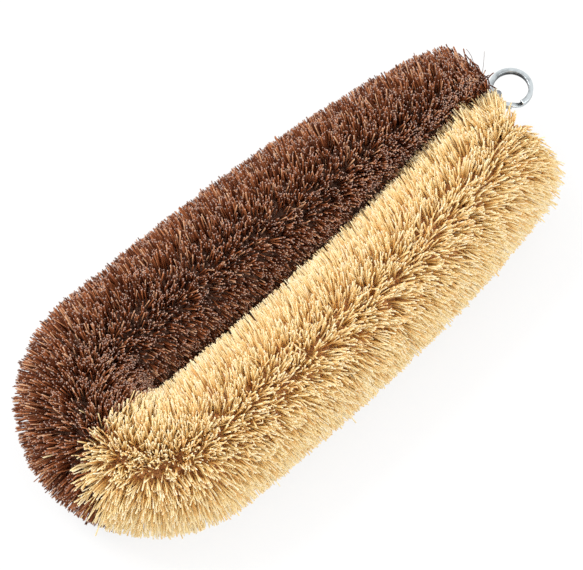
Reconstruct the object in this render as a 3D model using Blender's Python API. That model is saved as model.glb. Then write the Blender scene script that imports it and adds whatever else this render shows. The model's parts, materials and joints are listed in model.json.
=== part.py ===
"""Scrub brush on a twisted wire stem.

One wire, folded in half and twisted, is bent to a hairpin. Coir fills one leg and most of the
bend, sisal fills the rest. The fold of the wire is an eye at the ring end, where the wire's two
tails hook round its neck, and a split ring hangs in the eye.

Metres, +Z up. The hairpin lies flat on z = 0 with its bend at -X and its ring at +X.
"""

import math

import bmesh
import bpy
import numpy as np

# Hairpin, measured on the centre line of the twisted stem
BEND_RADIUS = 0.02325
COIR_LEG_LENGTH = 0.158
SISAL_LEG_SETBACK = 0.0035
LEG_END_OFFSET = 0.010
LEG_CURVE_POWER = 3

# Fibre body round the stem: a densely packed core and the strands that stand out of it
CORE_RADIUS = 0.020
CORE_END_SHARE = 0.75
STRAND_LENGTH = 0.005
HUB_RADIUS = 0.0015
FLAT_CUT_DEPTH = 0.0005
SEAT_GAP = 0.0003

# Sections of the fibre body, and the strands on them
LEG_SECTION_COUNT = 8
COIR_BEND_SECTION_COUNT = 3
SISAL_BEND_SECTION_COUNT = 2
ROWS_PER_SECTION = 2
STRANDS_AROUND = 14
STRAND_ROOT_RADIUS = 0.0022
STRAND_TIP_RADIUS = 0.0014
STRAND_LEAN = 0.0015
STRAND_LENGTH_SPREAD = 0.0008
STRAND_LEAST_LENGTH = 0.0025
STRAND_ROOT_MOST_SHARE = 0.8
STEEP_MEETING_DEGREES = 45
END_SPLAY = 0.0045

# Stem wire
WIRE_DIAMETER = 0.0016
WIRE_SELF_GAP = 0.00045
TWIST_LAY = 0.025
POINTS_PER_TWIST = 6
LOOP_POINTS = 24
TAIL_BEND_LENGTH = 0.007
TAIL_HOOK_DEGREES = 260
NECK_MARGIN = 0.0015
EYE_ARC_HALF_DEGREES = 125
EYE_CLEARANCE = 0.0003

# Split ring
RING_OUTER_DIAMETER = 0.016
RING_BAND_WIDTH = 0.0017
RING_TURN_HEIGHT = 0.00095
RING_TURN_GAP = 0.0005
RING_SECTION_SIDES = 8
RING_END_DEGREES = -103

UP = np.array([0.0, 0.0, 1.0])
BRISTLE_RADIUS = CORE_RADIUS + STRAND_LENGTH
SPINE_HEIGHT = BRISTLE_RADIUS - FLAT_CUT_DEPTH
WIRE_RADIUS = WIRE_DIAMETER / 2
STRAND_OFFSET = (WIRE_DIAMETER + WIRE_SELF_GAP) / 2 / math.cos(math.pi / POINTS_PER_TWIST)
SISAL_LEG_LENGTH = COIR_LEG_LENGTH - SISAL_LEG_SETBACK
LEG_ROWS = LEG_SECTION_COUNT * ROWS_PER_SECTION
BEND_ROWS = (COIR_BEND_SECTION_COUNT + SISAL_BEND_SECTION_COUNT) * ROWS_PER_SECTION
ALL_ROWS = 2 * LEG_ROWS + BEND_ROWS


def unit(vector):
    return vector / np.linalg.norm(vector)


def leg_mark(x, leg_length, side):
    """Point, direction towards the open end and outward normal of a leg at x from the bend.

    The leg's distance from the middle plane falls with a power of x, so it runs nearly straight
    from the bend and closes in towards the ring end.
    """
    close_in = LEG_END_OFFSET - BEND_RADIUS
    offset = BEND_RADIUS + close_in * (x / leg_length) ** LEG_CURVE_POWER
    slope = LEG_CURVE_POWER * close_in / leg_length * (x / leg_length) ** (LEG_CURVE_POWER - 1)
    point = np.array([x, side * offset, SPINE_HEIGHT])
    forward = unit(np.array([1.0, side * slope, 0.0]))
    outward = side * np.cross(UP, forward)
    return point, forward, outward


def spine(row):
    """Point, direction of travel and outward normal of the stem at a row mark.

    Marks count from 0 at the coir leg's open end, round the bend, to ALL_ROWS at the sisal leg's.
    """
    if row <= LEG_ROWS:
        x = COIR_LEG_LENGTH * (1 - row / LEG_ROWS)
        point, forward, outward = leg_mark(x, COIR_LEG_LENGTH, 1)
        return point, -forward, outward
    if row <= LEG_ROWS + BEND_ROWS:
        angle = math.pi * (row - LEG_ROWS) / BEND_ROWS
        outward = np.array([-math.sin(angle), math.cos(angle), 0.0])
        travel = np.array([-math.cos(angle), -math.sin(angle), 0.0])
        return outward * BEND_RADIUS + UP * SPINE_HEIGHT, travel, outward
    x = SISAL_LEG_LENGTH * (row - LEG_ROWS - BEND_ROWS) / LEG_ROWS
    return leg_mark(x, SISAL_LEG_LENGTH, -1)


# The stem's bore through the core has half as many sides as the core itself
BORE_SIDES = STRANDS_AROUND // 2

# The ring end of the stem: its neck runs straight on from the coir leg to the eye
RING_REACH = math.hypot(RING_BAND_WIDTH / 2, RING_TURN_HEIGHT + RING_TURN_GAP / 2)
EYE_RADIUS = RING_REACH + EYE_CLEARANCE + WIRE_RADIUS
EYE_ARC_HALF = math.radians(EYE_ARC_HALF_DEGREES)
EYE_SHOULDER = (EYE_RADIUS * math.sin(EYE_ARC_HALF) - STRAND_OFFSET) / -math.cos(EYE_ARC_HALF)
EYE_TO_NECK = EYE_SHOULDER * math.sin(EYE_ARC_HALF) - EYE_RADIUS * math.cos(EYE_ARC_HALF)
HOOK_PLACE = NECK_MARGIN + WIRE_RADIUS + STRAND_OFFSET
NECK_LENGTH = 2 * HOOK_PLACE
HOOK_RADIUS = STRAND_OFFSET + WIRE_DIAMETER + WIRE_SELF_GAP
RING_MID_RADIUS = (RING_OUTER_DIAMETER - RING_BAND_WIDTH) / 2

COIR_END, NECK_BACK, _ = spine(0)
NECK_AXIS = -NECK_BACK
NECK_SIDE = np.cross(UP, NECK_AXIS)
EYE_CENTRE = COIR_END + NECK_AXIS * (NECK_LENGTH + EYE_TO_NECK)
RING_CENTRE = EYE_CENTRE + NECK_AXIS * RING_MID_RADIUS

# The origin stands under the middle of the whole brush
FAR_REACH = RING_CENTRE[0] + RING_OUTER_DIAMETER / 2
NEAR_REACH = -(BEND_RADIUS + BRISTLE_RADIUS)
TO_ORIGIN = np.array([-(FAR_REACH + NEAR_REACH) / 2, 0.0, 0.0])


def make_material(name, colour, roughness, metallic):
    material = bpy.data.materials.new(name)
    material.use_nodes = True
    shader = material.node_tree.nodes["Principled BSDF"]
    shader.inputs["Base Color"].default_value = (*colour, 1.0)
    shader.inputs["Roughness"].default_value = roughness
    shader.inputs["Metallic"].default_value = metallic
    material.diffuse_color = (*colour, 1.0)
    return material


def add_object(name, data, material, location=(0.0, 0.0, 0.0), turn=0.0):
    data.materials.append(material)
    obj = bpy.data.objects.new(name, data)
    obj.location = location
    obj.rotation_euler = (0.0, 0.0, turn)
    bpy.context.scene.collection.objects.link(obj)
    return obj


def core_reach(point, direction, inward, in_bend):
    """Radius of the packed fibres in one direction from the stem.

    `inward` is the direction's share towards the inside of the hairpin. There the fibres crowd
    together: on the legs they fill the space to the middle plane and stop at it, and round the
    bend they fill it almost to the bend's own axis.
    """
    across = inward if in_bend else -direction[1] * math.copysign(1, point[1])
    if across <= 0:
        return CORE_RADIUS
    room = BEND_RADIUS - HUB_RADIUS if in_bend else abs(point[1]) - SEAT_GAP / 2
    crowded = max(0.0, room - CORE_RADIUS)
    return min(CORE_RADIUS + crowded * across**2, room / across)


def bore_radius():
    """Radius of the hole for the stem: it clears the twisted pair at the flats and on the bend."""
    bend_sag = BEND_RADIUS * (1 - math.cos(math.pi / BEND_ROWS / 2))
    clear = STRAND_OFFSET + WIRE_RADIUS + SEAT_GAP + bend_sag
    return clear / math.cos(math.pi / BORE_SIDES)


def add_rings(bm, mark, centre, in_bend):
    """The core's outline and its bore's at one row mark, one bore corner to two of the outline's.

    Angles run from straight down, so a column of strands points at the floor.
    """
    point, _, outward = spine(mark)
    outline, bore = [], []
    for step in range(STRANDS_AROUND):
        angle = 2 * math.pi * (step + 1 / 2) / STRANDS_AROUND
        direction = math.sin(angle) * outward - math.cos(angle) * UP
        reach = core_reach(point, direction, -math.sin(angle), in_bend)
        if mark in (0, ALL_ROWS):
            reach *= CORE_END_SHARE
        outline.append(bm.verts.new(centre + direction * reach))
    for step in range(BORE_SIDES):
        angle = 2 * math.pi * (step + 1 / 2) / BORE_SIDES
        direction = math.sin(angle) * outward - math.cos(angle) * UP
        bore.append(bm.verts.new(centre + direction * bore_radius()))
    return outline, bore


def add_core(bm, first_row, in_bend):
    """Packed fibres of one section, a bored slice of the body. Returns its cells.

    A cell is a three-sided face that can carry a strand, with the row mark at its centre.
    """
    marks = range(first_row, first_row + ROWS_PER_SECTION + 1)
    outlines, bores = [], []
    for mark in marks:
        point, travel, _ = spine(mark)
        stand_back = (mark == marks[0]) - (mark == marks[-1])
        outline, bore = add_rings(bm, mark, point + travel * stand_back * SEAT_GAP / 2, in_bend)
        outlines.append(outline)
        bores.append(bore)

    cells = []
    for row in range(ROWS_PER_SECTION):
        here, there = outlines[row], outlines[row + 1]
        for step in range(STRANDS_AROUND):
            a, b = here[step - 1], here[step]
            d, c = there[step - 1], there[step]
            halves = ((a, b, c), (c, d, a)) if (row + step) % 2 else ((b, c, d), (d, a, b))
            faces = [bm.faces.new(half) for half in halves]
            carrier = faces[(step // 2 + row) % 2]
            share_there = sum(vert in (c, d) for vert in carrier.verts) / 3
            cells.append((carrier, first_row + row + share_there))
        here, there = bores[row], bores[row + 1]
        for step in range(BORE_SIDES):
            bm.faces.new((here[step], here[step - 1], there[step - 1], there[step]))
    for outline, bore in ((outlines[0], bores[0]), (outlines[-1], bores[-1])):
        for step in range(BORE_SIDES):
            left, right = outline[2 * step - 1], outline[2 * step]
            bm.faces.new((left, right, bore[step], bore[step - 1]))
            bm.faces.new((right, outline[2 * step + 1], bore[step]))
    return cells


def strand_tip(root, row, in_bend, chance):
    """Middle of a strand's tip, or None where the other leg leaves it no room.

    A strand stands square to the stem, with a slight lean of its own. One that meets the other
    leg steeply is cut short, one that meets it at a slant is turned up or down, and the last
    rows of each leg splay out of its open end.
    """
    point, travel, outward = spine(row)
    direction = unit(root - point)
    inward = -direction @ outward
    length = BRISTLE_RADIUS - STRAND_LENGTH_SPREAD * chance.random()
    room = (BEND_RADIUS if in_bend else abs(point[1])) - SEAT_GAP / 2 - STRAND_TIP_RADIUS
    if inward > math.cos(math.radians(STEEP_MEETING_DEGREES)):
        length = min(length, room / inward)
        if in_bend or length - np.linalg.norm(root - point) < STRAND_LEAST_LENGTH:
            return None
    elif inward * length > room:
        inward = room / length
        rise = math.copysign(math.sqrt(1 - inward**2), direction[2])
        direction = rise * UP - inward * outward
    lean = STRAND_LEAN * (2 * chance.random(2) - 1)
    from_end = min(row, ALL_ROWS - row)
    splay = END_SPLAY * max(0.0, 1 - from_end / ROWS_PER_SECTION) ** 2
    towards_end = -travel if row < ALL_ROWS / 2 else travel
    aim = direction * length + towards_end * splay
    aim += travel * lean[0] + np.cross(travel, direction) * lean[1]
    return point + aim


def cut_back(root, tip, side):
    """A tip's corner moved back along its edge to the floor and to the middle plane."""
    if tip[2] < 0:
        tip = root + (tip - root) * root[2] / (root[2] - tip[2])
    limit = SEAT_GAP / 2
    if side and tip[1] * side < limit:
        tip = root + (tip - root) * (root[1] * side - limit) / ((root[1] - tip[1]) * side)
        tip[1] = side * limit
    return tip


def add_strand(bm, face, tip, side):
    """A three-sided strand: a smaller face set in one face of the core, then drawn out of it."""
    root_face = bmesh.ops.extrude_discrete_faces(bm, faces=[face])["faces"][0]
    centre = np.array(root_face.calc_center_median())
    rays = [np.array(vert.co) - centre for vert in root_face.verts]
    for vert, ray in zip(root_face.verts, rays):
        share = min(STRAND_ROOT_RADIUS / np.linalg.norm(ray), STRAND_ROOT_MOST_SHARE)
        vert.co = centre + ray * share
    roots = [np.array(vert.co) for vert in root_face.verts]
    tip_face = bmesh.ops.extrude_discrete_faces(bm, faces=[root_face])["faces"][0]
    for vert, root, ray in zip(tip_face.verts, roots, rays):
        corner = tip + unit(ray) * STRAND_TIP_RADIUS
        vert.co = cut_back(root, corner, side)


def add_section(name, first_row, material):
    """One slice of the fibre body: packed core and the strands that stand on it."""
    bm = bmesh.new()
    last_row = first_row + ROWS_PER_SECTION
    in_bend = LEG_ROWS <= first_row and last_row <= LEG_ROWS + BEND_ROWS
    side = 0 if in_bend else 1 if last_row <= LEG_ROWS else -1
    chance = np.random.default_rng(first_row)
    strands = 0
    for face, row in add_core(bm, first_row, in_bend):
        root = np.array(face.calc_center_median())
        tip = strand_tip(root, row, in_bend, chance)
        if tip is not None:
            add_strand(bm, face, tip, side)
            strands += 1
    bmesh.ops.recalc_face_normals(bm, faces=bm.faces)
    bmesh.ops.translate(bm, verts=bm.verts, vec=TO_ORIGIN)
    mesh = bpy.data.meshes.new(name)
    bm.to_mesh(mesh)
    bm.free()
    add_object(name, mesh, material)
    return strands


def tail_path(sign):
    """One tail of the wire, from the sisal leg's end to its hook round the neck of the eye.

    In plan both tails follow one cubic curve that leaves along the sisal leg and arrives square
    to the neck. One rises to pass over the neck and the other sinks to pass under it.
    """
    start, leave, _ = spine(ALL_ROWS)
    arrive = COIR_END + NECK_AXIS * HOOK_PLACE
    handles = start, start + leave * TAIL_BEND_LENGTH, arrive - NECK_SIDE * TAIL_BEND_LENGTH, arrive
    points = []
    for t in np.linspace(0, 1, LOOP_POINTS // 2 + 1):
        weights = (1 - t) ** 3, 3 * t * (1 - t) ** 2, 3 * t**2 * (1 - t), t**3
        middle = sum(weight * handle for weight, handle in zip(weights, handles))
        rates = (1 - t) ** 2, 2 * t * (1 - t), t**2
        course = sum(rate * (b - a) for rate, a, b in zip(rates, handles, handles[1:]))
        beside = np.cross(unit(course), UP)
        climb = t**2 * (3 - 2 * t)
        points.append(middle + sign * (beside * STRAND_OFFSET + UP * HOOK_RADIUS * climb))
    turn = math.radians(TAIL_HOOK_DEGREES)
    centre = arrive + sign * NECK_AXIS * STRAND_OFFSET
    for angle in np.linspace(0, turn, round(LOOP_POINTS * TAIL_HOOK_DEGREES / 360) + 1)[1:]:
        spoke = NECK_SIDE * math.sin(angle) + sign * UP * math.cos(angle)
        points.append(centre + spoke * HOOK_RADIUS)
    return points


def twisted_path(sign):
    """One strand of the twisted pair, from the sisal leg's end to the coir leg's.

    The strand goes round the stem's centre line at a steady rate along it, level with it at the
    sisal end and above or below it at the coir end.
    """
    rows = np.linspace(ALL_ROWS, 0, ALL_ROWS * LOOP_POINTS + 1)
    line = np.array([spine(row)[0] for row in rows])
    along = np.concatenate([[0.0], np.cumsum(np.linalg.norm(np.diff(line, axis=0), axis=1))])
    turns = round(along[-1] / TWIST_LAY) + 1 / 4
    points = []
    for share in np.linspace(0, 1, round(turns * POINTS_PER_TWIST) + 1):
        point, _, outward = spine(np.interp(share * along[-1], along, rows))
        angle = 2 * math.pi * turns * share
        spoke = outward * math.cos(angle) + UP * math.sin(angle)
        points.append(point + sign * spoke * STRAND_OFFSET)
    return points


def eye_path():
    """The fold of the wire: out along the neck, round an arc of the eye and back."""
    points = []
    arc = np.linspace(EYE_ARC_HALF, -EYE_ARC_HALF, round(LOOP_POINTS * EYE_ARC_HALF / math.pi) + 1)
    for angle in arc:
        spoke = NECK_AXIS * math.cos(angle) + UP * math.sin(angle)
        points.append(EYE_CENTRE + spoke * EYE_RADIUS)
    neck_end = COIR_END + NECK_AXIS * NECK_LENGTH
    return [neck_end + UP * STRAND_OFFSET] + points + [neck_end - UP * STRAND_OFFSET]


def least_self_gap(points, thickness):
    """Least distance between two stretches of a tube that lie apart along it, less its thickness."""
    line = np.array(points)
    along = np.concatenate([[0.0], np.cumsum(np.linalg.norm(np.diff(line, axis=0), axis=1))])
    count = math.ceil(along[-1] / (thickness / 4))
    places = np.linspace(0, along[-1], count)
    dense = np.stack([np.interp(places, along, line[:, axis]) for axis in range(3)], axis=1)
    least = math.inf
    for index, point in enumerate(dense):
        apart = places - places[index] > 3 * thickness
        if apart.any():
            least = min(least, np.linalg.norm(dense[apart] - point, axis=1).min())
    return least - thickness


def add_stem_wire(material):
    """The whole stem: one unbroken wire from tail to tail, through the fold that is the eye."""
    over = tail_path(1)[:0:-1] + twisted_path(1)
    under = tail_path(-1)[:0:-1] + twisted_path(-1)
    points = over + eye_path() + under[::-1]
    print(f"stem wire: least gap to itself {least_self_gap(points, WIRE_DIAMETER) * 1000:.3f} mm")
    curve = bpy.data.curves.new("stem_wire", "CURVE")
    curve.dimensions = "3D"
    curve.bevel_depth = WIRE_RADIUS
    curve.bevel_resolution = 1
    curve.use_fill_caps = True
    spline = curve.splines.new("POLY")
    spline.points.add(len(points) - 1)
    for target, point in zip(spline.points, points):
        target.co = (*(point + TO_ORIGIN), 1.0)
    add_object("stem_wire", curve, material)


def ring_level(step, last):
    """Height of a ring station: the upper turn, a crossing of two steps, the lower turn."""
    level = (RING_TURN_HEIGHT + RING_TURN_GAP) / 2
    return level * min(1.0, max(-1.0, last / 2 - step))


def add_ring(material):
    """Split ring: two flat turns of one flattened wire, with its origin on the hinge line."""
    last = 2 * LOOP_POINTS - 2
    stations = []
    for step in range(last + 1):
        angle = math.radians(RING_END_DEGREES) + 2 * math.pi * (step + 1) / LOOP_POINTS
        spoke = np.array([math.cos(angle), math.sin(angle), 0.0])
        middle = np.array([RING_MID_RADIUS, 0.0, ring_level(step, last)]) + spoke * RING_MID_RADIUS
        station = []
        for side in range(RING_SECTION_SIDES):
            lean = 2 * math.pi * side / RING_SECTION_SIDES
            out = spoke * math.cos(lean) * RING_BAND_WIDTH / 2
            station.append(middle + out + UP * math.sin(lean) * RING_TURN_HEIGHT / 2)
        stations.append(station)

    points = np.array(stations)
    above, below = points[:-LOOP_POINTS], points[LOOP_POINTS:]
    apart = np.linalg.norm(above[:, :, None] - below[:, None], axis=-1)
    print(f"hanging ring: least gap between its turns {apart.min() * 1000:.3f} mm")

    bm = bmesh.new()
    loops = [[bm.verts.new(point) for point in station] for station in stations]
    for here, there in zip(loops, loops[1:]):
        for side in range(RING_SECTION_SIDES):
            after = (side + 1) % RING_SECTION_SIDES
            bm.faces.new((here[side], here[after], there[after], there[side]))
    bm.faces.new(loops[0])
    bm.faces.new(loops[-1])
    bmesh.ops.recalc_face_normals(bm, faces=bm.faces)
    mesh = bpy.data.meshes.new("hanging_ring")
    bm.to_mesh(mesh)
    bm.free()
    turn = math.atan2(NECK_AXIS[1], NECK_AXIS[0])
    add_object("hanging_ring", mesh, material, EYE_CENTRE + TO_ORIGIN, turn)


def main():
    for obj in list(bpy.data.objects):
        bpy.data.objects.remove(obj, do_unlink=True)

    coir = make_material("coir", (0.155, 0.062, 0.030), 0.75, 0.0)
    sisal = make_material("sisal", (0.80, 0.60, 0.32), 0.65, 0.0)
    galvanised = make_material("galvanised_steel", (0.52, 0.55, 0.58), 0.35, 1.0)

    strands = 0
    coir_sections = LEG_SECTION_COUNT + COIR_BEND_SECTION_COUNT
    for index in range(coir_sections):
        strands += add_section(f"coir_section_{index + 1:02d}", index * ROWS_PER_SECTION, coir)
    for index in range(SISAL_BEND_SECTION_COUNT + LEG_SECTION_COUNT):
        first_row = (coir_sections + index) * ROWS_PER_SECTION
        strands += add_section(f"sisal_section_{index + 1:02d}", first_row, sisal)
    print(f"strands in all: {strands}")

    add_stem_wire(galvanised)
    add_ring(galvanised)


main()
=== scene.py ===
"""Scrub brush of coir and sisal on a twisted wire bent to a hairpin, with a split ring.

Metres, +Z up. The brush lies on the floor with its bend at -X, its ring at +X and coir at +Y.
"""

import json
import math

import bpy
import numpy as np
from mathutils import Matrix, Vector


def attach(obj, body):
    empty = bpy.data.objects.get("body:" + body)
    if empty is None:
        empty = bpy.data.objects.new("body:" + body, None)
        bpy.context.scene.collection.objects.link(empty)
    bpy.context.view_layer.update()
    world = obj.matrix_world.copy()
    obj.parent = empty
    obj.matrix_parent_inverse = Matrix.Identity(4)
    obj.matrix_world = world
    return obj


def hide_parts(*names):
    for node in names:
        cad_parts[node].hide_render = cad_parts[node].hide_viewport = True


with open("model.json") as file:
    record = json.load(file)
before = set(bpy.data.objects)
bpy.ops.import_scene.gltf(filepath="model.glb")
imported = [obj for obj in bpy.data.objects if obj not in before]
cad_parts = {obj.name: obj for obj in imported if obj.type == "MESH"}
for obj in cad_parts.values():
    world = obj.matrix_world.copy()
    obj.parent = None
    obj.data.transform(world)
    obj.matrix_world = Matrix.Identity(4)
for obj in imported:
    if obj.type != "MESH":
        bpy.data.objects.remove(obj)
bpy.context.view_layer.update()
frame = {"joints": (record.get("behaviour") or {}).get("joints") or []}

# Camera. The photograph looks down on the brush from beyond its bend with a long lens, so the
# brush runs from the lower left to the upper right and fills the frame.
VIEW_AZIMUTH = math.radians(-42.8)
VIEW_ELEVATION = math.radians(63)
VIEW_DISTANCE = 1.25
VIEW_LENS_MM = 223.2
SENSOR_WIDTH_MM = 36
VIEW_CENTRE = Vector((0.0029, 0.0, 0.025))
CENTRE_RIGHT = 0.0053
CENTRE_UP = 0.0030

view_right = Vector((math.cos(VIEW_AZIMUTH), math.sin(VIEW_AZIMUTH), 0.0))
view_level = Vector((math.sin(VIEW_AZIMUTH), -math.cos(VIEW_AZIMUTH), 0.0))
view_back = view_level * math.cos(VIEW_ELEVATION) + Vector((0, 0, math.sin(VIEW_ELEVATION)))
view_up = view_back.cross(view_right)
aim = VIEW_CENTRE - view_right * CENTRE_RIGHT - view_up * CENTRE_UP
lens = bpy.data.cameras.new("photo_view")
lens.sensor_width = SENSOR_WIDTH_MM
lens.lens = VIEW_LENS_MM
camera = bpy.data.objects.new("photo_view", lens)
camera.matrix_world = Matrix.Translation(aim + view_back * VIEW_DISTANCE) @ Matrix(
    (view_right, view_up, view_back)
).transposed().to_4x4()
bpy.context.scene.collection.objects.link(camera)
bpy.context.scene.camera = camera

# Stem wire. One galvanised wire folded in half: the fold is the eye that holds the ring, the two
# halves are twisted together round the fibres, and the two tails hook round the eye's neck. The
# twisted stem is bent to a hairpin, a half circle with two legs that close in towards their ends.
BEND_RADIUS = 0.02325
COIR_LEG_LENGTH = 0.158
SISAL_LEG_LENGTH = 0.1545
LEG_END_OFFSET = 0.010
LEG_CURVE_POWER = 3
LEG_ROWS = 16
BEND_ROWS = 10
ALL_ROWS = 2 * LEG_ROWS + BEND_ROWS
SPINE_HEIGHT = 0.0245
# This place centres the brush and its ring together on the origin
BEND_CENTRE_X = -0.0670737

# The wire, its twist, the hooks of its tails and its eye
WIRE_RADIUS = 0.0008
STRAND_OFFSET = 0.00086
TWIST_LAY = 0.025
TWIST_EXTRA_TURNS = 1 / 4
TAIL_BEND_LENGTH = 0.007
TAIL_HOOK_TURN = math.radians(260)
HOOK_PLACE = 0.0034836
HOOK_CLEARANCE = 0.00005
HOOK_RADIUS = STRAND_OFFSET + 2 * WIRE_RADIUS + HOOK_CLEARANCE
NECK_LENGTH = 2 * HOOK_PLACE
EYE_RADIUS = 0.0025705
EYE_ARC_HALF = math.radians(125)

# How finely the wire is made, and how bright it is rubbed
STRAND_POINTS = 2000
TAIL_POINTS = 60
HOOK_POINTS = 80
EYE_POINTS = 90
WIRE_STEP = 0.0004
WIRE_SMOOTHING = 0.0005
WIRE_SIDES = 12
WIRE_END_SHARE = 0.7
WIRE_RUB = 0.45
CUT_END_RUB = 0.2

UP = np.array([0.0, 0.0, 1.0])


def unit(vectors):
    """Vectors of length 1 in the same directions."""
    return vectors / np.linalg.norm(vectors, axis=-1, keepdims=True)


def stem_at(rows):
    """Points, directions of travel and outward normals of the stem at row marks 0 to ALL_ROWS.

    Row marks run from the coir leg's open end, round the bend, to the sisal leg's open end. On a
    leg y = B + (E - B) (x / L)^3, with B the bend's radius and E the end's offset from the middle.
    On the bend the stem is a half circle of radius B.
    """
    rows = np.asarray(rows, dtype=float)
    level = np.zeros_like(rows)
    on_coir = rows <= LEG_ROWS
    on_leg = (on_coir | (rows >= LEG_ROWS + BEND_ROWS))[..., None]
    side = np.where(rows < ALL_ROWS / 2, 1.0, -1.0)
    length = np.where(on_coir, COIR_LEG_LENGTH, SISAL_LEG_LENGTH)
    share = np.where(on_coir, 1 - rows / LEG_ROWS, (rows - LEG_ROWS - BEND_ROWS) / LEG_ROWS)
    close_in = LEG_END_OFFSET - BEND_RADIUS
    offset = BEND_RADIUS + close_in * share**LEG_CURVE_POWER
    slope = LEG_CURVE_POWER * close_in / length * share ** (LEG_CURVE_POWER - 1)
    forward = unit(np.stack([level + 1, side * slope, level], axis=-1))
    leg_point = np.stack([share * length, side * offset, level], axis=-1)
    angle = math.pi * (rows - LEG_ROWS) / BEND_ROWS
    bend_out = np.stack([-np.sin(angle), np.cos(angle), level], axis=-1)
    bend_travel = np.stack([-np.cos(angle), -np.sin(angle), level], axis=-1)
    point = np.where(on_leg, leg_point, bend_out * BEND_RADIUS)
    travel = np.where(on_leg, -side[..., None] * forward, bend_travel)
    return point + [BEND_CENTRE_X, 0.0, SPINE_HEIGHT], travel, np.cross(travel, UP)


ring_hinge = frame["joints"][0]
eye_centre = np.array(ring_hinge["pos_m"])
coir_end, coir_travel, _ = stem_at(0.0)
neck_axis = -coir_travel
neck_side = np.cross(UP, neck_axis)


def strand_line(sign):
    """One strand of the twisted pair from the sisal leg's end to the coir leg's.

    The strand is the stem's centre line plus a spoke that turns at a steady rate along it.
    """
    rows = np.linspace(ALL_ROWS, 0, STRAND_POINTS)
    point, _, outward = stem_at(rows)
    along = np.cumsum(np.linalg.norm(np.diff(point, axis=0, prepend=point[:1]), axis=1))
    turns = round(along[-1] / TWIST_LAY) + TWIST_EXTRA_TURNS
    angle = 2 * math.pi * turns * along / along[-1]
    spoke = outward * np.cos(angle)[:, None] + UP * np.sin(angle)[:, None]
    return point + sign * STRAND_OFFSET * spoke


def tail_line(sign):
    """One tail from the sisal leg's end to its hook: a cubic curve, then an arc round the neck.

    With t from 0 to 1 the tail rises by t^2 (3 - 2 t) of the hook's radius above the curve.
    """
    start, leave, _ = stem_at(float(ALL_ROWS))
    arrive = coir_end + neck_axis * HOOK_PLACE
    t = np.linspace(0, 1, TAIL_POINTS)[:, None]
    after_start = start + leave * TAIL_BEND_LENGTH
    before_end = arrive - neck_side * TAIL_BEND_LENGTH
    handles = start, after_start, before_end, arrive
    weights = (1 - t) ** 3, 3 * t * (1 - t) ** 2, 3 * t**2 * (1 - t), t**3
    middle = sum(weight * handle for weight, handle in zip(weights, handles))
    beside = np.cross(unit(np.gradient(middle, axis=0)), UP)
    climb = t**2 * (3 - 2 * t)
    run = middle + sign * (beside * STRAND_OFFSET + UP * HOOK_RADIUS * climb)
    angle = np.linspace(0, TAIL_HOOK_TURN, HOOK_POINTS)[1:, None]
    spoke = neck_side * np.sin(angle) + sign * UP * np.cos(angle)
    hook = arrive + sign * neck_axis * STRAND_OFFSET + spoke * HOOK_RADIUS
    return np.concatenate([run, hook])


def even_line(line, step, smoothing):
    """The same line with points at even steps and its corners rounded by a running average."""
    along = np.cumsum(np.linalg.norm(np.diff(line, axis=0, prepend=line[:1]), axis=1))
    places = np.linspace(0, along[-1], round(along[-1] / step) + 1)
    even = np.stack([np.interp(places, along, axis) for axis in line.T], axis=1)
    reach = round(smoothing / step)
    padded = np.pad(even, ((reach, reach), (0, 0)), mode="edge")
    spans = [padded[start : start + len(even)] for start in range(2 * reach + 1)]
    return np.mean(spans, axis=0)


arc = np.linspace(EYE_ARC_HALF, -EYE_ARC_HALF, EYE_POINTS)[:, None]
eye = eye_centre + EYE_RADIUS * (neck_axis * np.cos(arc) + UP * np.sin(arc))
neck_end = coir_end + neck_axis * NECK_LENGTH
fold = np.concatenate([[neck_end + UP * STRAND_OFFSET], eye, [neck_end - UP * STRAND_OFFSET]])
over = np.concatenate([tail_line(1)[::-1], strand_line(1)[1:]])
under = np.concatenate([tail_line(-1)[::-1], strand_line(-1)[1:]])
wire_line = even_line(np.concatenate([over, fold, under[::-1]]), WIRE_STEP, WIRE_SMOOTHING)


def carried_frames(line):
    """Two normals at each point of a line, carried along it without turning about it."""
    course = unit(np.gradient(line, axis=0))
    normal = unit(np.cross(course[0], UP))
    normals = []
    for direction in course:
        normal = unit(normal - direction * (normal @ direction))
        normals.append(normal)
    normals = np.array(normals)
    return normals, np.cross(course, normals)


def mesh_from(name, points, quads, triangles):
    """Smooth mesh of given points, four-sided and three-sided faces, all set as whole arrays."""
    mesh = bpy.data.meshes.new(name)
    corners = np.concatenate([quads.ravel(), triangles.ravel()]).astype(np.int32)
    quad_starts = 4 * np.arange(len(quads))
    starts = np.concatenate([quad_starts, 4 * len(quads) + 3 * np.arange(len(triangles))])
    mesh.vertices.add(len(points))
    mesh.vertices.foreach_set("co", np.ascontiguousarray(points, dtype=np.float32).ravel())
    mesh.loops.add(len(corners))
    mesh.loops.foreach_set("vertex_index", corners)
    mesh.polygons.add(len(starts))
    mesh.polygons.foreach_set("loop_start", starts.astype(np.int32))
    mesh.polygons.foreach_set("use_smooth", np.ones(len(starts), dtype=bool))
    mesh.update(calc_edges=True)
    return mesh


def closed_sweep(name, rings, hubs):
    """Closed mesh through rings of points, with a fan of faces from each end ring to its hub."""
    stations, around = rings.shape[:2]
    number = np.arange(stations * around).reshape(stations, around)
    after = np.roll(number, -1, axis=1)
    quads = np.stack([number[:-1], after[:-1], after[1:], number[1:]], axis=-1)
    hub = np.full(around, stations * around)
    start_cap = np.stack([after[0], number[0], hub], axis=-1)
    end_cap = np.stack([number[-1], after[-1], hub + 1], axis=-1)
    points = np.concatenate([rings.reshape(-1, 3), hubs])
    return mesh_from(name, points, quads.reshape(-1, 4), np.concatenate([start_cap, end_cap]))


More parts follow.
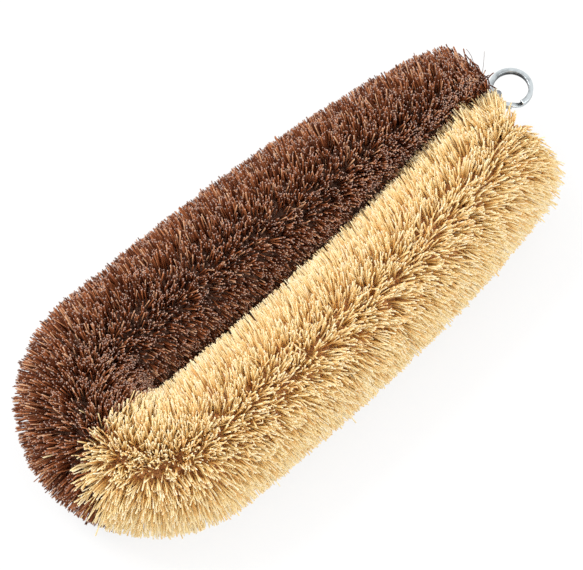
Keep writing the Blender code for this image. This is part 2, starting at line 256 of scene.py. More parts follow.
def metal_mesh(name, rings, rub):
    """Closed sweep whose attribute gives each point's tone, 0 to about 1: rubbed bright or painted
    shade.
    """
    mesh = closed_sweep(name, rings, rings[[0, -1]].mean(axis=1))
    layer = mesh.attributes.new("rub", "FLOAT", "POINT")
    layer.data.foreach_set("value", np.append(rub, [CUT_END_RUB, CUT_END_RUB]).astype(np.float32))
    return mesh


def tube_mesh(name, line, radius):
    """Round tube along a line: each ring is its point plus a circle in its two normals."""
    first, second = carried_frames(line)
    angle = (2 * math.pi * np.arange(WIRE_SIDES) / WIRE_SIDES)[None, :, None]
    size = radius * np.ones(len(line))
    size[[0, -1]] *= WIRE_END_SHARE
    circle = first[:, None] * np.cos(angle) + second[:, None] * np.sin(angle)
    rings = line[:, None] + circle * size[:, None, None]
    return metal_mesh(name, rings, np.full(rings.shape[:2], WIRE_RUB))


class Socket:
    """A node's output socket, so that shader maths can be written as an expression."""

    def __init__(self, finish, output):
        self.finish, self.output = finish, output

    def maths(self, operation, *values):
        """The result of a maths node that is fed these numbers or sockets."""
        return self.finish.node("ShaderNodeMath", {"operation": operation}, *values)

    def __add__(self, other):
        return self.maths("ADD", self, other)

    def __sub__(self, other):
        return self.maths("SUBTRACT", self, other)

    def __rsub__(self, other):
        return self.maths("SUBTRACT", other, self)

    def __mul__(self, other):
        return self.maths("MULTIPLY", self, other)

    __rmul__ = __mul__


class Finish:
    """A material, and the one method that adds nodes to it."""

    def __init__(self, name):
        self.material = bpy.data.materials.new(name)
        self.material.use_nodes = True
        self.shader = self.material.node_tree.nodes["Principled BSDF"]

    def node(self, kind, settings, *values, output=0, **named):
        """Adds a node, makes its settings, then feeds its inputs, and gives one of its outputs.

        Inputs are fed in order or by name with numbers, colours or sockets, and None is left as
        it is. The setting called stops holds a ramp's positions and colours.
        """
        new = self.material.node_tree.nodes.new(kind)
        for key, value in settings.items():
            if key != "stops":
                setattr(new, key, value)
                continue
            for _ in value[2:]:
                new.color_ramp.elements.new(1.0)
            for stop, (position, shade) in zip(new.color_ramp.elements, value):
                stop.position = position
                stop.color = (*shade, 1.0)
        for key, value in [*enumerate(values), *named.items()]:
            self.feed(new.inputs[key], value)
        return Socket(self, new.outputs[output])

    def feed(self, target, value):
        """Links a socket to an input, or sets the input to a number or colour."""
        if isinstance(value, Socket):
            self.material.node_tree.links.new(value.output, target)
        elif value is not None:
            target.default_value = value

    def mix(self, share, first, second, blend="MIX"):
        """Mix of two colours by a share. A colour mix has its colours at inputs 6 and 7."""
        settings = {"data_type": "RGBA", "blend_type": blend}
        unused = [None] * 5
        return self.node("ShaderNodeMix", settings, share, *unused, first, second, output=2)


WEAR_CLOUD = 1.1
ROUGHNESS_CLOUD = 0.2
GRAIN_FINENESS = 9
GRAIN_DEPTH = 0.00004


def metal_finish(name, dull_and_shade, bright, roughness, scale):
    """Plated steel: dark as painted shade, bright where it rubs, cloudy, with a finely drawn
    surface.
    """
    finish = Finish(name)
    place = finish.node("ShaderNodeTexCoord", {}, output="Object")
    rub = finish.node("ShaderNodeAttribute", {"attribute_name": "rub"}, output="Fac")
    cloud = finish.node("ShaderNodeTexNoise", {}, Vector=place, Scale=scale, Detail=4.0)
    wear_and_shade = rub + WEAR_CLOUD * (cloud - 0.5)
    tone = finish.node("ShaderNodeValToRGB", {"stops": [(0.1, dull_and_shade), (0.85, bright)]}, wear_and_shade)
    finish.feed(finish.shader.inputs["Base Color"], tone)
    finish.feed(finish.shader.inputs["Roughness"], roughness - ROUGHNESS_CLOUD * cloud)
    fine = GRAIN_FINENESS * scale
    grain = finish.node("ShaderNodeTexNoise", {}, Vector=place, Scale=fine, Detail=2.0)
    bump = finish.node("ShaderNodeBump", {}, Strength=0.25, Distance=GRAIN_DEPTH, Height=grain)
    finish.feed(finish.shader.inputs["Normal"], bump)
    finish.shader.inputs["Metallic"].default_value = 1.0
    return finish


def add_piece(name, mesh, finish, body, slot, *nodes):
    """A finished piece that rides on a body and stands for these CAD nodes."""
    mesh.materials.append(finish.material)
    piece = bpy.data.objects.new(name, mesh)
    bpy.context.scene.collection.objects.link(piece)
    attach(piece, body)
    if nodes:
        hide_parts(*nodes)


wire_finish = metal_finish("galvanised_wire", (0.14, 0.15, 0.16), (0.62, 0.64, 0.66), 0.5, 700.0)
wire_mesh = tube_mesh("stem_wire_tube", wire_line, WIRE_RADIUS)
add_piece("stem_wire_tube", wire_mesh, wire_finish, "brush", "galvanised_steel", "stem_wire")

# Coir filling. Stiff brown coconut fibres, clamped square between the two twisted wires and
# trimmed to one length, so they stand out all round. They fill one leg and most of the bend.
ROWS_PER_SECTION = 2
COIR_SECTIONS = 11
ROW_LENGTH = COIR_LEG_LENGTH / LEG_ROWS
FILLING_SEED = 100
ROW_SPREAD = 0.15
STRAY_SHARE = 0.03
STRAY_ROW_SPREAD = 0.9
SLANT_ROWS = 0.8
END_ZONE_ROWS = 0.9
END_CROWD_POWER = 1.5

# How long the fibres are, and how they give way to the other leg and to the floor
BRISTLE_RADIUS = 0.025
TRIM_SPREAD = 0.00035
MEETING_SPREAD = 0.0018
MEETING_SWING = 0.0078
SWING_POWER = 3
CUT_OFF_SHARE = 0.5
LEAST_SINE = 0.1
HELD_SPREAD = 0.25
HELD_CALM = 0.6
CROWD_MARGIN = 0.004
CROWD_GAIN = 1.6
LEAST_KEPT_SHARE = 0.45
FLOOR_CLEARANCE = 0.0003

# How they lean and bow, and how their tips gather in tufts
END_TILT = math.radians(80)
LEAST_TILT_SHARE = 0.4
TUFT_WAVES = 28
TUFT_SEED = 7
BEND_PLACE_SHARE = 0.5
TIP_DRAW_SHARE = 0.04

# How they are made as a mesh, and mapped by shade in strips
FIBRE_RINGS = 4
FIBRE_SIDES = 3
THICKNESS_SHARES = (0.7, 1.3)
TAPER_SHARES = (1.1, 0.85)
SHADE_COUNT = 64
STRIP_MARGIN_SHARE = 0.1
STRIP_CAP_SHARE = 0.04


def slanted(rows, angle):
    """Row marks moved along the stem by the cosine of the angle from straight up.

    The move fades by half a sine wave to nothing at the open ends. The wire was twisted after the
    fibres were laid in it, so each filling's last row slants.
    """
    return rows - SLANT_ROWS * np.cos(angle) * np.sin(math.pi * rows / ALL_ROWS)


def meeting_shift(rows):
    """How far the line where the two legs meet lies to the coir's side of the middle plane.

    It is nothing at the bend and grows with a power of the way along the leg, because the sisal
    leans over the coir at the ring end.
    """
    share = np.abs(rows / ALL_ROWS * 2 - 1)
    return MEETING_SWING * np.clip(share, 0, 1) ** SWING_POWER


def tuft_pull(along, around, reach, shortest, longest):
    """How far each fibre's tip is drawn to its tuft, along the stem and round it.

    The pull is the slope of a sum of sine waves over the trimmed surface. Tips gather where the
    sum is high and leave gaps where it is low. Waves go a whole number of times round the stem.
    """
    chance = np.random.default_rng(TUFT_SEED)
    wavelength = shortest * (longest / shortest) ** chance.random(TUFT_WAVES)
    heading = 2 * math.pi * chance.random(TUFT_WAVES)
    phase = 2 * math.pi * chance.random(TUFT_WAVES)
    rate_along = 2 * math.pi / wavelength * np.cos(heading)
    rate_around = np.round(2 * math.pi / wavelength * np.sin(heading) * BRISTLE_RADIUS)
    slope = np.cos(along[:, None] * rate_along + around[:, None] * rate_around + phase)
    slope *= reach * math.sqrt(2 / TUFT_WAVES)
    return (slope * np.cos(heading)).sum(axis=1), (slope * np.sin(heading)).sum(axis=1)


def curved_lines(roots, middles, tips, rings):
    """Quadratic curves from roots to tips that are drawn towards middles: line, ring and xyz.

    A point is (1 - t)^2 root + 2 t (1 - t) middle + t^2 tip, with t from 0 to 1.
    """
    t = np.linspace(0, 1, rings)[None, :, None]
    start, end = (1 - t) ** 2 * roots[:, None], t**2 * tips[:, None]
    return start + 2 * t * (1 - t) * middles[:, None] + end


def trimmed_lengths(at_end, lay, chance):
    """Fibre lengths: the bristle radius with a little spread, and a little more at an open end.

    Some fibres are longer, where the trimming missed them, and some are broken short.
    """
    count = len(at_end)
    length = BRISTLE_RADIUS + TRIM_SPREAD * chance.standard_normal(count)
    long_share = np.where(at_end > 0, lay["long_at_end"], lay["long_share"])
    length += lay["long_extra"] * chance.random(count) * (chance.random(count) < long_share)
    length += lay["end_flare"] * at_end
    broken = chance.random(count) < lay["short_share"]
    return length * np.where(broken, chance.uniform(lay["short_least"], 1, count), 1)


def side_room(rows, offset, at_end, in_bend, lay, chance):
    """How far fibres can reach from the stem towards the other leg before they meet its fibres."""
    room = np.where(in_bend, BEND_RADIUS, np.abs(offset))
    room = room + lay["meeting"] - MEETING_SPREAD * chance.random(len(rows))
    room += np.where(in_bend, 0, np.where(offset > 0, -1, 1) * meeting_shift(rows))
    return room + lay["end_room"] * at_end


def fit_between_legs(inward, length, room, in_bend, lay, chance):
    """New lengths, how far each fibre leans towards the other leg, as a sine, and which are kept.

    Half of the fibres that have no room end where the other leg begins, and the rest are turned
    up or down. Inside the bend some are left out, as the stem's turn crowds them together.
    """
    count = len(inward)
    limit = np.minimum(room / length, lay["widest"])
    crowded = inward > limit
    cut_off = crowded & (chance.random(count) < CUT_OFF_SHARE)
    cut_length = np.minimum(length, room / np.maximum(inward, LEAST_SINE))
    length = np.where(cut_off, cut_length, length)
    gather = 1 - inward * length / (BEND_RADIUS + CROWD_MARGIN)
    gather = np.where(in_bend & (inward > 0), gather, 1.0)
    kept = chance.random(count) < np.clip(gather * CROWD_GAIN, LEAST_KEPT_SHARE, 1)
    turned = limit - HELD_SPREAD * chance.random(count) ** 2
    return length, np.where(crowded & ~cut_off, turned, inward), kept


def lay_fibres(rows, lay, chance):
    """Centre lines of fibres rooted at these row marks, an array of fibre, ring and xyz.

    A fibre stands square to the stem at a random angle, unless the other leg turns it away. Near
    an open end it tilts by t, to reach (sin t)^p along and radius (cos t)^p across, which makes
    the end a dome. The tip then moves by the tuft's pull and a lean of its own, less so on the
    side of the other leg, and it ends above the floor. The line is the quadratic curve from the
    root through a curled middle to the tip.
    """
    count = len(rows)
    angle = 2 * math.pi * chance.random(count)
    rows = slanted(rows, angle)
    point, travel, outward = stem_at(rows)
    at_end = np.clip(1 - np.minimum(rows, ALL_ROWS - rows) / END_ZONE_ROWS, 0, 1)
    in_bend = (rows > LEG_ROWS) & (rows < LEG_ROWS + BEND_ROWS)
    length = trimmed_lengths(at_end, lay, chance)
    room = side_room(rows, point[:, 1], at_end, in_bend, lay, chance)
    length, held, kept = fit_between_legs(-np.sin(angle), length, room, in_bend, lay, chance)
    rise = np.copysign(np.sqrt(1 - held**2), np.cos(angle))
    square = -held[:, None] * outward + rise[:, None] * UP

    tilt = END_TILT * at_end * chance.uniform(LEAST_TILT_SHARE, 1.0, count)
    endward = np.where(rows < ALL_ROWS / 2, -1.0, 1.0)[:, None] * travel
    pull = tuft_pull(rows * ROW_LENGTH, angle, lay["tuft_reach"], *lay["tuft_sizes"])
    pull = pull + lay["lean_spread"] * chance.standard_normal((2, count))
    pull *= 1 - HELD_CALM * np.clip(held, 0, 1)
    sideways = np.cross(travel, square)
    radius = length * np.cos(tilt) ** lay["end_square"]
    across = unit(square * radius[:, None] + sideways * pull[1][:, None]) * radius[:, None]
    lean_over = 1 + lay["end_lean"] * np.maximum(held, 0) ** 2
    reach = lay["end_reach"] * lean_over * length / BRISTLE_RADIUS
    reach *= np.sin(tilt) ** lay["end_square"] * (1 - lay["end_drop"] * np.maximum(rise, 0))
    tip = across + endward * reach[:, None] + travel * pull[0][:, None]
    lowest = SPINE_HEIGHT - FLOOR_CLEARANCE
    tip *= np.minimum(1, lowest / np.maximum(-tip[:, 2], lowest))[:, None]

    course = unit(square * np.cos(tilt)[:, None] + endward * np.sin(tilt)[:, None])
    curl_size = lay["curl_spread"] * (1 + lay["end_curl"] * at_end)
    curl = curl_size * chance.standard_normal((2, count))
    middle = course * BEND_PLACE_SHARE * np.linalg.norm(tip, axis=1)[:, None]
    middle += TIP_DRAW_SHARE * tip
    middle += endward * curl[0][:, None] + sideways * curl[1][:, None]
    root = course * (lay["root_radius"] * np.cos(tilt))[:, None]
    return (point[:, None] + curved_lines(root, middle, tip, FIBRE_RINGS))[kept]


def lay_map(mesh, quad_map, triangle_map):
    """Lays out the map that the mesh's colours are baked through, corner by corner."""
    layer = mesh.uv_layers.new(name="OFBake")
    uv = np.concatenate([quad_map.reshape(-1, 2), triangle_map.reshape(-1, 2)])
    layer.uv.foreach_set("vector", uv.astype(np.float32).ravel())


def fibre_mesh(name, lines, thickness, shades, chance):
    """Mesh of closed three-sided fibres round their centre lines, tapering a little to the tip.

    Each ring of a fibre is three points on a circle round its centre line. The mesh carries the
    fibre's shade, its distance from root to tip, and a map in which fibres of one shade share
    one strip: across the strip is round the fibre and up the strip is along it.
    """
    count, rings = lines.shape[:2]
    course = unit(lines[:, -1] - lines[:, 0])
    across = unit(np.cross(course, unit(chance.standard_normal((count, 3)))))[:, None]
    beside = np.cross(course[:, None], across)
    turn = (2 * math.pi * np.arange(FIBRE_SIDES) / FIBRE_SIDES)[None, :, None]
    ring = across * np.cos(turn) + beside * np.sin(turn)
    radius = thickness / 2 * chance.uniform(*THICKNESS_SHARES, count)[:, None]
    radius = radius * np.linspace(*TAPER_SHARES, rings)
    points = lines[:, :, None] + ring[:, None] * radius[:, :, None, None]

    number = np.arange(points[..., 0].size).reshape(points.shape[:3])
    after = np.roll(number, -1, axis=2)
    quads = np.stack([number[:, :-1], after[:, :-1], after[:, 1:], number[:, 1:]], axis=-1)
    caps = np.stack([number[:, 0, ::-1], number[:, -1]], axis=1)
    mesh = mesh_from(name, points.reshape(-1, 3), quads.reshape(-1, 4), caps.reshape(-1, 3))

    place = np.broadcast_to(np.linspace(0, 1, rings)[None, :, None], number.shape)
    tone = np.broadcast_to(((shades + 0.5) / SHADE_COUNT)[:, None, None], number.shape)
    for attribute, values in (("along", place), ("shade", tone)):
        layer = mesh.attributes.new(attribute, "FLOAT", "POINT")
        layer.data.foreach_set("value", np.ascontiguousarray(values, dtype=np.float32).ravel())

    marks = np.linspace(STRIP_CAP_SHARE, 1 - STRIP_CAP_SHARE, rings)
    left, right = STRIP_MARGIN_SHARE, 1 - STRIP_MARGIN_SHARE
    side_up = np.stack([marks[:-1], marks[:-1], marks[1:], marks[1:]], axis=-1)[None, :, None]
    side_across = (shades[:, None, None, None] + np.array([left, right, right, left])) / SHADE_COUNT
    cap_up = np.array([[marks[0], marks[0], 0.0], [marks[-1], marks[-1], 1.0]])[None]
    cap_across = (shades[:, None, None] + np.array([left, right, 0.5])) / SHADE_COUNT
    side_map = np.stack(np.broadcast_arrays(side_across, side_up, quads)[:2], axis=-1)
    cap_map = np.stack(np.broadcast_arrays(cap_across, cap_up, caps)[:2], axis=-1)
    lay_map(mesh, side_map, cap_map)
    return mesh


def screen(red, green, blue):
    """Linear colour of a screen colour given in steps of 255, by the screen's standard curve."""
    value = np.array([red, green, blue]) / 255
    return tuple(np.where(value <= 0.04045, value / 12.92, ((value + 0.055) / 1.055) ** 2.4))


FIBRE_ROUGHNESS = 0.55
TIP_ZONE = (0.98, 0.997)


def fibre_finish(name, shades, root, tip, tip_share, shine):
    """Plant fibre: natural shades, painted root shade, pale cut tip partly painted highlight."""
    finish = Finish(name)
    shade = finish.node("ShaderNodeAttribute", {"attribute_name": "shade"}, output="Fac")
    along = finish.node("ShaderNodeAttribute", {"attribute_name": "along"}, output="Fac")
    body = finish.node("ShaderNodeValToRGB", {"stops": shades}, shade)
    # Painted shade: the colour darkens towards the root, for the depth between the fibres.
    painted_root_shade = finish.node("ShaderNodeValToRGB", {"stops": root}, along)
    body = finish.mix(1.0, body, painted_root_shade, "MULTIPLY")
    # The pale tip is partly the cut end's own colour and partly a painted highlight.
    pale_tip_and_highlight = finish.node("ShaderNodeMapRange", {}, along, *TIP_ZONE, 0.0, tip_share)
    finish.feed(finish.shader.inputs["Base Color"], finish.mix(pale_tip_and_highlight, body, (*tip, 1.0)))
    finish.shader.inputs["Roughness"].default_value = FIBRE_ROUGHNESS
    finish.shader.inputs["Specular IOR Level"].default_value = shine
    return finish


def add_filling(kind, number, section, finish, lay):
    """The fibres of one section of filling, in place of the CAD's solid slice of it."""
    first_row = section * ROWS_PER_SECTION
    chance = np.random.default_rng(FILLING_SEED + section)
    ends, _, _ = stem_at([first_row, first_row + ROWS_PER_SECTION])
    in_bend = LEG_ROWS <= first_row < LEG_ROWS + BEND_ROWS
    crowd = lay["bend_crowd"] if in_bend else 1
    count = round(np.linalg.norm(ends[1] - ends[0]) * lay["per_metre"] * crowd)
    rows = first_row + ROWS_PER_SECTION * chance.random(count)
    spread = np.where(chance.random(count) < STRAY_SHARE, STRAY_ROW_SPREAD, ROW_SPREAD)
    rows = np.clip(rows + spread * chance.standard_normal(count), 0, ALL_ROWS)
    if first_row in (0, ALL_ROWS - ROWS_PER_SECTION):
        near = END_ZONE_ROWS * chance.random(lay["end_extra"]) ** END_CROWD_POWER
        rows = np.concatenate([rows, near if first_row == 0 else ALL_ROWS - near])
    lines = lay_fibres(rows, lay, chance)
    shades = chance.integers(0, SHADE_COUNT, len(lines))
    name = f"{kind}_fibres_{number:02d}"
    mesh = fibre_mesh(name, lines, lay["thickness"], shades, chance)
    add_piece(name, mesh, finish, "brush", kind, f"{kind}_section_{number:02d}")


COIR_LAY = {
    "thickness": 0.00054,
    "per_metre": 130000,
    "bend_crowd": 1.4,
    "end_extra": 1350,
    "root_radius": 0.012,
    "meeting": 0.0018,
    "widest": 0.97,
    "end_reach": 0.0028,
    "end_lean": 0.0,
    "end_drop": 0.0,
    "end_curl": 1.2,
    "end_square": 0.6,
    "end_flare": 0.0007,
    "end_room": 0.0,
    "tuft_reach": 0.0012,
    "tuft_sizes": (0.0042, 0.014),
    "lean_spread": 0.0011,
    "curl_spread": 0.0013,
    "short_share": 0.30,
    "short_least": 0.74,
    "long_share": 0.01,
    "long_at_end": 0.03,
    "long_extra": 0.0016,
}
coir_finish = fibre_finish(
    "coir_fibre",
    shades=[
        (0.0, screen(72, 35, 20)),
        (0.3, screen(103, 53, 29)),
        (0.6, screen(137, 76, 43)),
        (0.85, screen(180, 112, 71)),
        (1.0, screen(222, 174, 134)),
    ],
    # Painted shade towards the root, for the depth between the fibres.
    root=[(0.0, (0.70, 0.60, 0.56)), (0.55, (0.76, 0.68, 0.65)), (0.95, (1, 1, 1))],
    # The pale tip is partly the cut end's own colour and partly a painted highlight.
    tip=screen(208, 184, 170),
    tip_share=0.55,
    shine=0.12,
)
for section in range(COIR_SECTIONS):
    add_filling("coir", section + 1, section, coir_finish, COIR_LAY)

# The coir packed round the wire
COIR_CORE_RADIUS = 0.0165
COIR_CORE_RINGS = 520
CORE_SIDES = 150
CORE_RIPPLE = 0.0012
CORE_WAVES = ((11, 9), (7, -13))
CORE_ROUGHNESS = 0.0007
CORE_SEED = 3
CORE_END_ROWS = 0.6
CORE_LEAST_SHARE = 0.05
CORE_WEB_POWER = 4
CORE_LEAST_SINE = 0.01
CORE_MAP_CAP_SHARE = 0.02
MEETING_OVERLAP = 0.0004
COLOUR_CHANGE_ROW = COIR_SECTIONS * ROWS_PER_SECTION


def core_mesh(name, core_radius, first_row, last_row, steps):
    """Mesh of the fibres packed round the wire: a tube along the stem, closed at both ends.

    Radius = R sqrt(1 - (1 - e)^2), with e from 0 at an open end to 1 past its rounded part, plus
    the product of two sine waves that run round and along the stem, plus a random roughness for
    the fibres' ends. Towards the other leg it grows by a power of the sine to meet that leg's.
    """
    marks = np.linspace(first_row, last_row, steps)
    left = np.arange(CORE_SIDES) / CORE_SIDES
    turns = 2 * math.pi * np.arange(CORE_SIDES) / CORE_SIDES
    rows, angle = np.meshgrid(marks, turns, indexing="ij")
    from_end = np.clip(np.minimum(rows, ALL_ROWS - rows) / CORE_END_ROWS, 0, 1)
    radius = core_radius * np.sqrt(1 - (1 - from_end) ** 2).clip(CORE_LEAST_SHARE)
    waves = [np.sin(angle * around + rows * along) for around, along in CORE_WAVES]
    ripple = waves[0] * waves[1]
    rows = slanted(rows, angle)
    point, _, outward = stem_at(rows)
    offset = point[..., 1]
    room = np.abs(offset) - np.where(offset > 0, 1, -1) * meeting_shift(rows) + MEETING_OVERLAP
    room = np.where((rows > LEG_ROWS) & (rows < LEG_ROWS + BEND_ROWS), BEND_RADIUS, room)
    inward = np.maximum(-np.sin(angle), CORE_LEAST_SINE)
    rough = np.random.default_rng(CORE_SEED).uniform(-1, 1, rows.shape)
    web = (BEND_RADIUS + MEETING_OVERLAP - core_radius) * inward**CORE_WEB_POWER
    reach = radius + (CORE_RIPPLE * ripple + CORE_ROUGHNESS * rough + web) * from_end
    reach = np.minimum(reach, room / inward)
    spokes = np.sin(angle)[..., None] * outward + np.cos(angle)[..., None] * UP
    hubs, _, _ = stem_at(marks[[0, -1]])
    mesh = closed_sweep(name, point + spokes * reach[..., None], hubs)

    right = left + 1 / CORE_SIDES
    low, high = CORE_MAP_CAP_SHARE, 1 - CORE_MAP_CAP_SHARE
    marks = np.linspace(low, high, steps)[:, None]
    quad_across = np.stack([left, right, right, left], axis=-1)
    quad_up = np.stack([marks[:-1], marks[:-1], marks[1:], marks[1:]], axis=-1)
    middle = (left + right) / 2
    cap_across = np.stack([[right, left, middle], [left, right, middle]]).swapaxes(1, 2)
    cap_up = np.array([[low, low, 0.0], [high, high, 1.0]])[:, None]
    quad_map = np.stack(np.broadcast_arrays(quad_across, quad_up), axis=-1)
    lay_map(mesh, quad_map, np.stack(np.broadcast_arrays(cap_across, cap_up), axis=-1))
    return mesh


def core_finish(name, dark, pale):
    """Packed fibre seen end on and deep down, in tones of painted shade: fine noise between two
    tones.
    """
    finish = Finish(name)
    place = finish.node("ShaderNodeTexCoord", {}, output="Object")
    noise = finish.node("ShaderNodeTexNoise", {}, Vector=place, Scale=1400.0, Detail=3.0)
    tone = finish.node("ShaderNodeValToRGB", {"stops": [(0.35, dark), (0.65, pale)]}, noise)
    finish.feed(finish.shader.inputs["Base Color"], tone)
    finish.shader.inputs["Roughness"].default_value = 0.9
    return finish


# Painted shade: the packed coir is coloured darker than its fibres, for the depth under them.
coir_core_finish = core_finish("packed_coir_shade", (0.065, 0.030, 0.018), (0.19, 0.088, 0.050))
coir_core = core_mesh("coir_core", COIR_CORE_RADIUS, 0, COLOUR_CHANGE_ROW, COIR_CORE_RINGS)
add_piece("coir_core", coir_core, coir_core_finish, "brush", "coir")

# Stray coir. A few fibres that were bent or missed by the trimming stand out of the open end. One
# more thick strand, in the darkest shade, lies along the line where the coir gives way to the
# sisal.
STRAY_LINES_MM = np.array(
    [
        [[90.5, 10.0, 30.0], [97.6, 12.5, 45.0], [94.8, 17.5, 52.0]],
        [[90.0, 11.0, 30.0], [94.6, 14.4, 42.0], [94.3, 16.6, 48.0]],
        [[92.0, 9.0, 28.0], [98.6, 11.4, 36.0], [98.8, 12.5, 52.0]],
        [[91.0, 8.0, 27.0], [99.0, 11.0, 36.0], [103.7, 11.3, 33.0]],
        [[91.0, 9.0, 27.0], [97.5, 11.2, 37.0], [101.3, 11.4, 34.0]],
        [[90.0, 6.0, 28.0], [97.0, 9.0, 33.0], [99.8, 12.4, 31.0]],
        [[-89.5, -7.0, 24.0], [-102.0, -11.8, 21.3], [-112.6, -14.8, 15.6]],
    ]
)
STRAY_THICKNESS = np.array([0.30, 0.34, 0.26, 0.55, 0.50, 0.55, 0.95]) / 1000
STRAY_SHADES = np.array([4, 8, 0, 22, 14, 20, 0])
STRAY_RINGS = 12
STRAY_SEED = 5

stray_chance = np.random.default_rng(STRAY_SEED)
stray_lines = curved_lines(*(STRAY_LINES_MM / 1000).swapaxes(0, 1), STRAY_RINGS)
stray_mesh = fibre_mesh(
    "coir_strays", stray_lines, STRAY_THICKNESS[:, None], STRAY_SHADES, stray_chance
)
add_piece("coir_strays", stray_mesh, coir_finish, "brush", "coir")

# Sisal filling. Pale yellow agave fibres, a little thicker than the coir, laid in the same wire
# after it. They fill the rest of the bend and the other leg, and splay more at its open end.
SISAL_LAY = {
    "thickness": 0.00061,
    "per_metre": 130000,
    "bend_crowd": 1.3,
    "end_extra": 1700,
    "root_radius": 0.011,
    "meeting": 0.0001,
    "widest": 0.93,
    "end_reach": 0.0055,
    "end_lean": 0.5,
    "end_drop": 0.4,
    "end_curl": 0.0,
    "end_square": 0.7,
    "end_flare": 0.0,
    "end_room": 0.008,
    "tuft_reach": 0.0014,
    "tuft_sizes": (0.0046, 0.020),
    "lean_spread": 0.0014,
    "curl_spread": 0.0011,
    "short_share": 0.40,
    "short_least": 0.70,
    "long_share": 0.006,
    "long_at_end": 0.22,
    "long_extra": 0.0035,
}
SISAL_CORE_RADIUS = 0.0150
SISAL_CORE_RINGS = 480
sisal_finish = fibre_finish(
    "sisal_fibre",
    shades=[
        (0.0, screen(239, 195, 130)),
        (0.3, screen(250, 222, 161)),
        (0.7, screen(254, 233, 182)),
        (1.0, screen(255, 240, 205)),
    ],
    # Painted shade towards the root, for the depth between the fibres.
    root=[(0.0, (0.98, 0.65, 0.38)), (0.5, (1.0, 0.87, 0.66)), (0.95, (1, 1, 1))],
    # The pale tip is partly the cut end's own colour and partly a painted highlight.
    tip=screen(254, 236, 204),
    tip_share=0.4,
    shine=0.25,
)
for section in range(COIR_SECTIONS, ALL_ROWS // ROWS_PER_SECTION):
    add_filling("sisal", section - COIR_SECTIONS + 1, section, sisal_finish, SISAL_LAY)
# Painted shade: the packed sisal is darker and more orange than its fibres, for the depth under
# them.
sisal_core_finish = core_finish("packed_sisal_shade", (0.30, 0.115, 0.042), (0.80, 0.42, 0.17))
sisal_core = core_mesh(
    "sisal_core", SISAL_CORE_RADIUS, COLOUR_CHANGE_ROW, ALL_ROWS, SISAL_CORE_RINGS
)
add_piece("sisal_core", sisal_core, sisal_core_finish, "brush", "sisal")

# Sisal wisp. Some of the sisal's end fibres lean over the coir's end, where they hide the wire's
# eye and part of the ring. They are the same fibre, held in the same wire.
WISP_COUNT = 230
WISP_ROOT = np.array([0.0865, -0.0085, 0.0270])
WISP_TIPS_MM = [
    [94.8, -1.4, 40.5],
    [97.5, 4.9, 36.2],
    [91.2, 4.2, 42.4],
    [86.3, 4.0, 43.0],
    [97.3, -3.4, 36.0],
]
WISP_GATHER = 0.6
WISP_BULGE = np.array([-0.0010, -0.0010, 0.0030])
WISP_SPREAD = 0.0007
WISP_RINGS = 6
WISP_SEED = 9


def wisp_lines(chance):
    """Curves from one spot to random mixes of the given tips, each point moved at random."""
    share = chance.dirichlet([WISP_GATHER] * len(WISP_TIPS_MM), WISP_COUNT)
    stir = WISP_SPREAD * chance.standard_normal((3, WISP_COUNT, 3))
    roots = WISP_ROOT + stir[0]
    tips = share @ np.array(WISP_TIPS_MM) / 1000 + stir[1]
    return curved_lines(roots, (roots + tips) / 2 + WISP_BULGE + stir[2], tips, WISP_RINGS)


wisp_chance = np.random.default_rng(WISP_SEED)
wisp_shades = wisp_chance.integers(0, SHADE_COUNT, WISP_COUNT)
wisp_mesh = fibre_mesh(
    "sisal_wisp", wisp_lines(wisp_chance), SISAL_LAY["thickness"], wisp_shades, wisp_chance
)
add_piece("sisal_wisp", wisp_mesh, sisal_finish, "brush", "sisal")

# Split ring. Two flat turns of one flattened wire, sprung together, with both ends cut square.
# It is threaded through the eye and swings in it.
RING_OUTER_RADIUS = 0.008
RING_BAND_WIDTH = 0.0017
RING_TURN_HEIGHT = 0.00108
RING_TURN_GAP = 0.0002
RING_CORNER = 0.00028
RING_END_ANGLE = math.radians(-103)
RING_STATIONS = 241
RING_TURNS = 1.917
RING_STEP_TURNS = 1 / 12
RING_CORNER_POINTS = 5
RING_RUB_AND_SHADE_SHARE = 0.55

ring_middle_radius = RING_OUTER_RADIUS - RING_BAND_WIDTH / 2
ring_centre = eye_centre + neck_axis * ring_middle_radius


def rounded_profile(width, height, corner, steps):
    """Corner points of a rounded rectangle: four quarter circles moved out to its corners.

    They run clockwise seen along the path, so that the swept faces point outwards.
    """
    quarter = np.linspace(0, math.pi / 2, steps)
    angle = np.concatenate([quarter + turn * math.pi / 2 for turn in range(4)])
    side = np.array([[1, 1], [-1, 1], [-1, -1], [1, -1]]).repeat(steps, axis=0)
    straight = np.array([width / 2 - corner, height / 2 - corner])
    return (side * straight + corner * np.stack([np.cos(angle), np.sin(angle)], axis=1))[::-1]


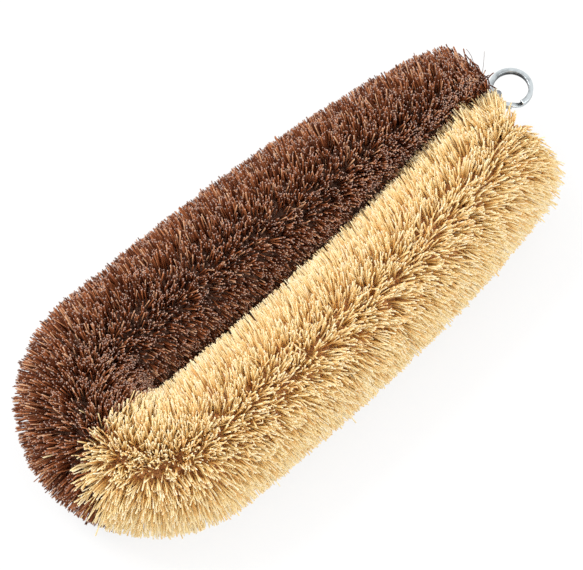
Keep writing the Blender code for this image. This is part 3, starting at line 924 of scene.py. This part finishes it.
def ring_points():
    """A rounded profile carried round nearly two turns, and the tone of each of its points.

    It steps down from one turn to the other midway, by half a sine wave, and its two ends lie half
    a step either side of one angle. Its outer edge and the faces away from the other turn are
    lighter, as rubbed; its inner edge and the faces towards the other turn are darker, a painted
    shade.
    """
    share = np.linspace(0, 1, RING_STATIONS)
    angle = RING_END_ANGLE + 2 * math.pi * (RING_STEP_TURNS / 2 + RING_TURNS * share)
    level = np.clip((0.5 - share) * RING_TURNS / RING_STEP_TURNS * 2, -1, 1)
    level = np.sin(level * math.pi / 2) * (RING_TURN_HEIGHT + RING_TURN_GAP) / 2
    spoke = neck_axis * np.cos(angle)[:, None] + neck_side * np.sin(angle)[:, None]
    profile = rounded_profile(RING_BAND_WIDTH, RING_TURN_HEIGHT, RING_CORNER, RING_CORNER_POINTS)
    out = ring_middle_radius + profile[None, :, :1]
    points = ring_centre + spoke[:, None] * out
    points = points + UP * (level[:, None, None] + profile[None, :, 1:])
    outward = profile[None, :, 0] / RING_BAND_WIDTH
    away = np.sign(level)[:, None] * profile[None, :, 1] / RING_TURN_HEIGHT
    return points, 0.5 + RING_RUB_AND_SHADE_SHARE * outward + RING_RUB_AND_SHADE_SHARE * away


ring_grid, ring_rub_and_shade = ring_points()
# Painted shade: the dark tone falls on the ring's inner edge and between its turns; the bright tone
# is the rubbed outer edge.
ring_finish = metal_finish("plated_ring", (0.07, 0.075, 0.08), (0.67, 0.72, 0.74), 0.38, 420.0)
ring_mesh = metal_mesh("split_ring", ring_grid, ring_rub_and_shade)
add_piece("split_ring", ring_mesh, ring_finish, "ring", "galvanised_steel", "hanging_ring")

# Floor and light. A plain pale floor with a glow that the camera and reflections see and that
# doesn't light the brush, so its shadows stay faint. The world is white, and of the two soft
# lamps the main one stands to the upper left, as in the photograph.
FLOOR_HALF = 3.0
FLOOR_SHADE = (0.9, 0.9, 0.9, 1)
FLOOR_ROUGHNESS = 0.9
FLOOR_GLOW_SHARE = 0.8
WHITE = (1, 1, 1, 1)
WORLD_STRENGTH = 0.98
floor_finish = Finish("floor")
floor_finish.shader.inputs["Base Color"].default_value = FLOOR_SHADE
floor_finish.shader.inputs["Roughness"].default_value = FLOOR_ROUGHNESS
camera_ray, glossy_ray, passing_ray = (
    floor_finish.node("ShaderNodeLightPath", {}, output=ray)
    for ray in ("Is Camera Ray", "Is Glossy Ray", "Is Transmission Ray")
)
seen = camera_ray.maths("MAXIMUM", camera_ray, glossy_ray)
seen = seen.maths("MAXIMUM", seen, passing_ray)
lit = Socket(floor_finish, floor_finish.shader.outputs[0])
glow = floor_finish.node("ShaderNodeEmission", {}, WHITE)
blend = floor_finish.node("ShaderNodeMixShader", {}, seen * FLOOR_GLOW_SHARE, lit, glow)
surface = floor_finish.material.node_tree.nodes["Material Output"].inputs["Surface"]
floor_finish.feed(surface, blend)
corner = FLOOR_HALF * np.array([[-1, -1, 0], [1, -1, 0], [1, 1, 0], [-1, 1, 0]])
floor_mesh = mesh_from("floor", corner, np.array([[0, 1, 2, 3]]), np.empty((0, 3), dtype=int))
floor_mesh.materials.append(floor_finish.material)
floor = bpy.data.objects.new("floor", floor_mesh)
bpy.context.scene.collection.objects.link(floor)

world = bpy.data.worlds.new("studio")
bpy.context.scene.world = world
world.use_nodes = True
sky = world.node_tree.nodes["Background"]
sky.inputs["Color"].default_value = WHITE
sky.inputs["Strength"].default_value = WORLD_STRENGTH


def add_lamp(name, place, power, size):
    """A square lamp that faces the brush."""
    light = bpy.data.lights.new(name, "AREA")
    light.energy = power
    light.size = size
    lamp = bpy.data.objects.new(name, light)
    lamp.location = place
    lamp.rotation_euler = Vector(place).to_track_quat("Z", "Y").to_euler()
    bpy.context.scene.collection.objects.link(lamp)


add_lamp("key_light", (-0.45, 0.85, 1.25), 14.0, 0.6)
add_lamp("fill_light", (0.3, -1.1, 0.9), 6.2, 0.9)

bpy.context.scene.view_settings.view_transform = "Standard"
